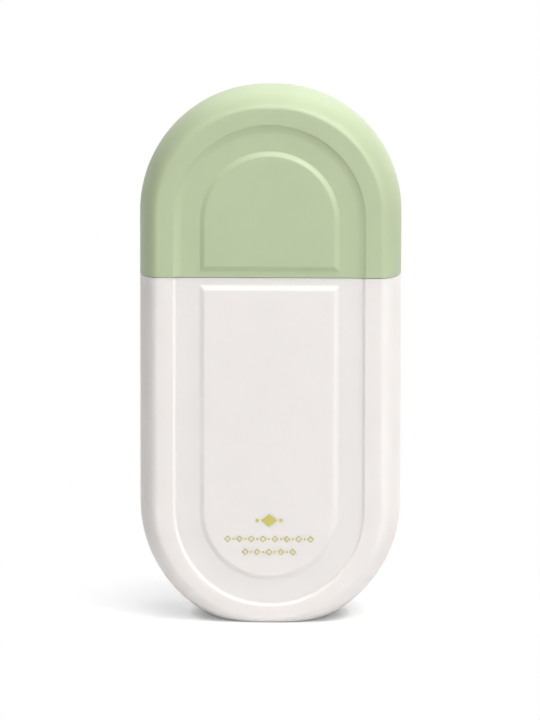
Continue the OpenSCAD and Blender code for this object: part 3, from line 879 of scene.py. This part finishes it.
def pump_head():
    """The pressed head, with a spout that flows out of its side."""
    outer, top = HEAD_HIGH[0], HEAD_HIGH[2]
    reach = -HEAD_LOW[1]
    spout_z = top - SPOUT_DROP
    points, faces = turned(head_profile(), HEAD_STEPS)

    def inside_spout(k):
        """Whether a point lies where the spout opens the head's wall."""
        x, y, z = points[k]
        outside = math.hypot(x, y) > outer * SPOUT_HOLE_SHARE
        return y < 0 and outside and math.hypot(x, z - spout_z) < SPOUT_HOLE_R

    faces = [face for face in faces if not all(inside_spout(k) for k in face)]
    rings = []
    for kind, r, value in spout_outline(reach):
        ring = []
        for i in range(SPOUT_STEPS):
            turn = FULL_TURN * i / SPOUT_STEPS
            x, up = r * math.cos(turn), r * math.sin(turn)
            wall_r = head_radius(min(spout_z + up, top - SPOUT_TOP_GAP))
            wall = math.sqrt(max(wall_r ** 2 - x * x, 0))
            if kind == "hug":
                y = wall + value
            elif kind == "tube":
                start = wall + SPOUT_FLARE
                y = start + (reach - SPOUT_TIP_ROUND - start) * value
            else:
                y = value
            ring.append((x, -y, spout_z + up))
        rings.append(add_ring(points, ring))
    faces += tube_faces(rings) + [tuple(rings[-1])]
    piece = mesh_object("pump_head", points, faces)
    steady_normals(piece, HEAD_SHARP_DEG)
    return piece


# The pump's spring
SPRING_TURNS = 7
SPRING_WIRE = 0.7
SPRING_CLOSE_SHARE = 0.5
SPRING_TURN_STEPS = 32
SPRING_SIDES = 12


def return_spring():
    """The coil inside the pump, with its end turns lying closer."""
    wire_r = SPRING_WIRE / 2
    mean_r = SPRING_HIGH[0] - wire_r
    low = SPRING_LOW[2] + wire_r
    rise = SPRING_HIGH[2] - SPRING_LOW[2] - SPRING_WIRE
    points = []
    rings = []
    for share in spread(0, 1, SPRING_TURNS * SPRING_TURN_STEPS):
        turn = FULL_TURN * SPRING_TURNS * share
        z = low + rise * (share - SPRING_CLOSE_SHARE * math.sin(FULL_TURN * share) / FULL_TURN)
        ring = []
        for k in range(SPRING_SIDES):
            around = FULL_TURN * k / SPRING_SIDES
            r = mean_r + wire_r * math.cos(around)
            ring.append((r * math.cos(turn), r * math.sin(turn), z + wire_r * math.sin(around)))
        rings.append(add_ring(points, ring))
    faces = tube_faces(rings) + [tuple(rings[0]), tuple(rings[-1])]
    return mesh_object("return_spring", points, faces)


# The print low on the front panel: a lozenge between two dots, over two chains of small open lozenges
# and dots. Each chain has its height and the number of its links.
PRINT_LIFT = 0.03
PRINT_SINK = 0.01
LOZENGE_Z = 25.4
LOZENGE_W = 4.0
LOZENGE_H = 3.2
DOT_R = 0.45
DOT_X = 2.9
DOT_STEPS = 24
CHAINS = [(20.8, 8), (17.6, 5)]
CHAIN_STEP = 2.9
LINK_W = 1.75
LINK_STROKE = 0.34
LINK_DOT_R = 0.24


def disc(x, z, r):
    """A round dot's outline."""
    turns = [FULL_TURN * k / DOT_STEPS for k in range(DOT_STEPS)]
    return [(x + r * math.cos(a), z + r * math.sin(a)) for a in turns]


def lozenge(x, z, w, h):
    """A lozenge's outline."""
    return [(x + w / 2, z), (x, z + h / 2), (x - w / 2, z), (x, z - h / 2)]


def print_shapes():
    """The print's outlines as (outer, inner) lists of (across, height). inner is None for solid marks."""
    shapes = [(lozenge(0, LOZENGE_Z, LOZENGE_W, LOZENGE_H), None)]
    shapes += [(disc(side * DOT_X, LOZENGE_Z, DOT_R), None) for side in (-1, 1)]
    open_w = LINK_W - 2 * LINK_STROKE
    for z, count in CHAINS:
        start = -CHAIN_STEP * (count - 1) / 2
        for k in range(count):
            x = start + CHAIN_STEP * k
            shapes.append((lozenge(x, z, LINK_W, LINK_W), lozenge(x, z, open_w, open_w)))
            if k < count - 1:
                shapes.append((disc(x + CHAIN_STEP / 2, z, LINK_DOT_R), None))
    return shapes


def printed_marks():
    """The print as thin solid ink on the panel's face."""
    levels = (PRINT_SINK - PANEL_D, -PRINT_LIFT - PANEL_D)
    points = []
    faces = []
    for outer, inner in print_shapes():
        loops = [outer, inner] if inner else [outer]
        rings = [[add_ring(points, [(x, y, z) for x, z in loop]) for y in levels] for loop in loops]
        for level in (0, 1):
            if inner:
                faces += band_faces(rings[0][level], rings[1][level])
            else:
                faces.append(tuple(rings[0][level]))
        for back, front in rings:
            faces += band_faces(back, front)
    return mesh_object("printed_marks", points, faces, smooth=False)


# Materials

# The scale and the detail of each noise
NOISES = {"cloud": (90.0, 3.0), "speck": (2600.0, 2.0), "gloss": (420.0, 4.0), "grain": (3800.0, 3.0)}
NOISE_ROUGHNESS = 0.55
NOISE_LOW = 0.3
NOISE_HIGH = 0.7
CLOUD_SHARE = 0.7
SPECK_SHARE = 0.3
GLOSS_SPREAD = 0.07
GRAIN_DISTANCE = 0.000012
SOFT_RADIUS = (1.0, 0.95, 0.9)
SOFT_SCALE = 0.002
SHEEN_ROUGHNESS = 0.4
SHEEN_TINT = (1.0, 0.86, 0.76, 1)


def srgb(r, g, b):
    """A colour given as it shows on a screen, from 0 to 255, as linear light."""
    found = []
    for c in (r / 255, g / 255, b / 255):
        found.append(c / 12.92 if c <= 0.04045 else ((c + 0.055) / 1.055) ** 2.4)
    return found


def shader_tree(name):
    """An empty material, its tree and its output."""
    material = bpy.data.materials.new(name)
    material.use_nodes = True
    tree = material.node_tree
    tree.nodes.clear()
    out = tree.nodes.new("ShaderNodeOutputMaterial")
    return material, tree, out


def feed(tree, node, inputs):
    """Sets each input of a node to a value, or links another node's output to it."""
    for key, value in inputs.items():
        if isinstance(value, bpy.types.NodeSocket):
            tree.links.new(value, node.inputs[key])
        else:
            node.inputs[key].default_value = value


def add_node(tree, kind, inputs):
    """A new shader node with its inputs."""
    node = tree.nodes.new("ShaderNode" + kind)
    feed(tree, node, inputs)
    return node


def worked_out(tree, operation, *values):
    """The output of a node that does a sum."""
    node = tree.nodes.new("ShaderNodeMath")
    node.operation = operation
    feed(tree, node, dict(enumerate(values)))
    return node.outputs[0]


def noise(tree, coords, name):
    """The output of one of NOISES."""
    scale, detail = NOISES[name]
    node = add_node(tree, "TexNoise", {
        "Vector": coords, "Scale": scale, "Detail": detail, "Roughness": NOISE_ROUGHNESS,
    })
    return node.outputs["Fac"]


def ranged(tree, value, low, high):
    """Spreads a noise's middle range over low to high."""
    node = add_node(tree, "MapRange", {
        "Value": value, "From Min": NOISE_LOW, "From Max": NOISE_HIGH, "To Min": low, "To Max": high,
    })
    return node.outputs["Result"]


def plastic(name, colour, rough, grain=0.5, shade=0.02, ior_level=0.5, soft=0.0, metal=0.0, sheen=0.0):
    """Moulded plastic or metal: faint clouding in the colour, uneven gloss and a fine moulded grain."""
    material, tree, out = shader_tree(name)
    coords = tree.nodes.new("ShaderNodeTexCoord").outputs["Object"]
    cloud = ranged(tree, noise(tree, coords, "cloud"), 0.0, CLOUD_SHARE)
    tint = tree.nodes.new("ShaderNodeMix")
    tint.data_type = "RGBA"
    feed(tree, tint, {
        "Factor": worked_out(tree, "MULTIPLY_ADD", noise(tree, coords, "speck"), SPECK_SHARE, cloud),
        "A": (*[c * (1 - shade) for c in colour], 1),
        "B": (*[min(1.0, c * (1 + shade)) for c in colour], 1),
    })
    gloss = noise(tree, coords, "gloss")
    bump = add_node(tree, "Bump", {
        "Strength": grain, "Distance": GRAIN_DISTANCE, "Height": noise(tree, coords, "grain"),
    })
    shader = add_node(tree, "BsdfPrincipled", {
        "Base Color": tint.outputs["Result"],
        "Roughness": ranged(tree, gloss, rough * (1 - GLOSS_SPREAD), rough * (1 + GLOSS_SPREAD)),
        "Normal": bump.outputs["Normal"],
        "Specular IOR Level": ior_level,
        "Metallic": metal,
        "Subsurface Weight": soft,
        "Subsurface Radius": SOFT_RADIUS,
        "Subsurface Scale": SOFT_SCALE,
        "Sheen Weight": sheen,
        "Sheen Roughness": SHEEN_ROUGHNESS,
        "Sheen Tint": SHEEN_TINT,
    })
    feed(tree, out, {"Surface": shader.outputs[0]})
    return material


BODY_WHITE = srgb(236.5, 232, 229.5)
CAP_GREEN = srgb(180.5, 193.5, 158)
LINER_WHITE = srgb(234, 234, 232)
PUMP_WHITE = srgb(230, 230, 228)
PUMP_NATURAL = srgb(222, 224, 222)
FOAM = srgb(228, 228, 224)
SPRING_STEEL = srgb(200, 202, 204)
BALL_STEEL = srgb(210, 212, 214)
INK = srgb(195, 186, 92)

# Each finish: its colour and roughness, and what else sets it apart
FINISHES = {
    "bottle_white": dict(colour=BODY_WHITE, rough=0.5, shade=0.012, ior_level=0.2, soft=0.8, sheen=0.3),
    "cap_green": dict(colour=CAP_GREEN, rough=0.42, ior_level=0.2),
    "liner_white": dict(colour=LINER_WHITE, rough=0.4, ior_level=0.2),
    "pump_white": dict(colour=PUMP_WHITE, rough=0.34, grain=0.2, ior_level=0.25),
    "pump_natural": dict(colour=PUMP_NATURAL, rough=0.4, grain=0.2, ior_level=0.25, soft=0.4),
    "gasket_foam": dict(colour=FOAM, rough=0.9, grain=1.0, shade=0.05),
    "spring_steel": dict(colour=SPRING_STEEL, rough=0.28, grain=0.2, metal=1.0),
    "ball_steel": dict(colour=BALL_STEEL, rough=0.12, grain=0.05, metal=1.0),
    "print_ink": dict(colour=INK, rough=0.55, shade=0.06),
}
MATERIALS = {name: plastic(name, **finish) for name, finish in FINISHES.items()}


def dress(piece, finish, body, replaced=None):
    """Gives a piece its finish's material and its body, and hides the part it replaces, if one is given."""
    piece.data.materials.append(MATERIALS[finish])
    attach(piece, body)
    if replaced:
        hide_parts(replaced)
    return piece


dress(bottle_shell(), "bottle_white", "bottle", "bottle_body")
dress(cap_shell(), "cap_green", "cap", "cap_shell")
dress(liner_sleeve(), "liner_white", "cap", "cap_liner")
dress(ribbed_collar(), "pump_white", "collar", "closure_collar")
dress(pump_head(), "pump_white", "head", "actuator_head")
spring = dress(return_spring(), "spring_steel", "pump", "pump_spring")
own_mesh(spring)
dress(neck_thread(), "bottle_white", "bottle")
dress(printed_marks(), "print_ink", "bottle")

for part in frame["record"]["subparts"]:
    node = frame["nodes"][part["node"]]
    if not node.hide_render:
        for face in range(len(node.material_slots)):
            node.material_slots[face].material = MATERIALS[part["material_slot"]]


# The floor, in metres: its tone where it bounces light, and its tone and glow where it is seen.
# The glow dims near what stands on the floor, a painted contact shadow, and the floor turns white between
# FLOOR_NEAR and FLOOR_FAR.
FLOOR_HALF = 30.0
FLOOR_TONE = 0.85
FLOOR_SHOWN = 0.47
FLOOR_LIFT = 0.592
# How far the painted contact shadow reaches, and the share of the glow it can take away
PAINTED_SHADOW_REACH = 0.003
PAINTED_SHADOW_SHARE = 0.6
FLOOR_NEAR = 0.04
FLOOR_FAR = 0.075

# The strength of plain white, and of the trace of even light all round
WHITE = 1.0
AMBIENT = 0.01


def seen_directly(tree):
    """1 for the camera, and for what shows in gloss and through clear things."""
    path = tree.nodes.new("ShaderNodeLightPath").outputs
    total = path["Is Camera Ray"]
    for name in ("Is Glossy Ray", "Is Transmission Ray"):
        total = worked_out(tree, "MAXIMUM", total, path[name])
    return total


def mixed(tree, share, first, second):
    """Two shaders mixed by a share of the second."""
    return add_node(tree, "MixShader", {0: share, 1: first, 2: second}).outputs[0]


def floor():
    """A pale floor that shows the bottle's shadow, darkened near its foot by a painted contact shadow, and
    turns plain white further out.
    """
    corners = [(x * FLOOR_HALF, y * FLOOR_HALF, 0) for x, y in ((-1, -1), (1, -1), (1, 1), (-1, 1))]
    mesh = bpy.data.meshes.new("floor")
    mesh.from_pydata(corners, [], [(0, 1, 2, 3)])
    plane = add_object("floor", mesh)
    material, tree, out = shader_tree("floor")
    pale = add_node(tree, "BsdfDiffuse", {"Color": (FLOOR_TONE, FLOOR_TONE, FLOOR_TONE, 1)})
    shown = add_node(tree, "BsdfDiffuse", {"Color": (FLOOR_SHOWN, FLOOR_SHOWN, FLOOR_SHOWN, 1)})
    # Ambient occlusion dims the glow near the bottle: a painted contact shadow
    painted_shadow_ao = add_node(tree, "AmbientOcclusion", {"Distance": PAINTED_SHADOW_REACH}).outputs["AO"]
    glow_with_painted_shadow = worked_out(
        tree, "MULTIPLY_ADD", painted_shadow_ao, FLOOR_LIFT * PAINTED_SHADOW_SHARE, FLOOR_LIFT * (1 - PAINTED_SHADOW_SHARE)
    )
    lift = add_node(tree, "Emission", {"Strength": glow_with_painted_shadow})
    near = add_node(tree, "AddShader", {0: shown.outputs[0], 1: lift.outputs[0]})
    white = add_node(tree, "Emission", {"Strength": WHITE})
    length = tree.nodes.new("ShaderNodeVectorMath")
    length.operation = "LENGTH"
    feed(tree, length, {0: tree.nodes.new("ShaderNodeTexCoord").outputs["Object"]})
    reach = tree.nodes.new("ShaderNodeMapRange")
    reach.interpolation_type = "SMOOTHSTEP"
    feed(tree, reach, {"Value": length.outputs["Value"], "From Min": FLOOR_NEAR, "From Max": FLOOR_FAR})
    seen = mixed(tree, reach.outputs["Result"], near.outputs[0], white.outputs[0])
    feed(tree, out, {"Surface": mixed(tree, seen_directly(tree), pale.outputs[0], seen)})
    mesh.materials.append(material)


def world():
    """A trace of even light, and plain white where the world itself is seen."""
    made = bpy.data.worlds.new("world")
    bpy.context.scene.world = made
    made.use_nodes = True
    tree = made.node_tree
    tree.nodes.clear()
    soft = add_node(tree, "Background", {"Strength": AMBIENT}).outputs[0]
    white = add_node(tree, "Background", {"Strength": WHITE}).outputs[0]
    add_node(tree, "OutputWorld", {"Surface": mixed(tree, seen_directly(tree), soft, white)})


# The point that the lamps and the camera look at, in metres
AIM = Vector((0, 0, 0.0655))


def way_to(round_deg, up_deg):
    """The direction from AIM that lies so many degrees round from the front, and so many up."""
    turn, lift = math.radians(round_deg), math.radians(up_deg)
    return Vector((math.sin(turn) * math.cos(lift), -math.cos(turn) * math.cos(lift), math.sin(lift)))


# Name, degrees round from the front, degrees up and power in watts of each lamp
LAMPS = [
    ("key_front", 20, 55, 30.5),
    ("key_side", 62, 55, 14.0),
    ("key_top", 45, 75, 15.0),
    ("top_back", 180, 75, 7.0),
    ("fill_back", 178, 22, 12.0),
    ("shine_front", 35, 28, 63.0),
    ("shine_top", 0, 42, 37.0),
    ("shine_back", 180, 45, 9.0),
    ("shine_low", 150, 20, 5.0),
]

# The size of each lamp and how far it stands off, in metres
LAMP_SIZE = 1.6
LAMP_DISTANCE = 2.0


def lamps():
    """Square soft boxes. Those named shine give only gloss, and those named fill give none."""
    for name, round_deg, up_deg, power in LAMPS:
        way = way_to(round_deg, up_deg)
        light = bpy.data.lights.new(name, "AREA")
        light.shape = "SQUARE"
        light.size = LAMP_SIZE
        light.energy = power
        lamp = add_object(name, light)
        lamp.location = AIM + way * LAMP_DISTANCE
        lamp.rotation_mode = "QUATERNION"
        lamp.rotation_quaternion = (-way).to_track_quat("-Z", "Y")
        lamp.visible_camera = False
        lamp.visible_diffuse = not name.startswith("shine")
        lamp.visible_glossy = not name.startswith("fill")


# The camera: its angles in degrees, its lens and sensor in millimetres, and the rest in metres
CAMERA_ROUND = 1.2
CAMERA_UP = 8.0
CAMERA_ROLL = 0.097
CAMERA_LENS = 305.2
CAMERA_SENSOR = 36.0
CAMERA_DISTANCE = 1.5
CAMERA_DOWN = 0.002516
CAMERA_LEFT = 0.000133
CAMERA_NEAR = 0.05
CAMERA_FAR = 100.0


def camera():
    """The photograph's view: a long lens from a little above, a little to the right."""
    data = bpy.data.cameras.new("camera")
    data.lens = CAMERA_LENS
    data.sensor_width = CAMERA_SENSOR
    data.clip_start = CAMERA_NEAR
    data.clip_end = CAMERA_FAR
    made = add_object("camera", data)
    way = way_to(CAMERA_ROUND, CAMERA_UP)
    turn = (-way).to_track_quat("-Z", "Y")
    right = turn @ Vector((1, 0, 0))
    up = turn @ Vector((0, 1, 0))
    made.location = AIM + way * CAMERA_DISTANCE - up * CAMERA_DOWN - right * CAMERA_LEFT
    made.rotation_mode = "QUATERNION"
    made.rotation_quaternion = turn @ Quaternion((0, 0, 1), math.radians(CAMERA_ROLL))
    bpy.context.scene.camera = made


floor()
world()
lamps()
camera()
bpy.context.scene.view_settings.view_transform = "Standard"
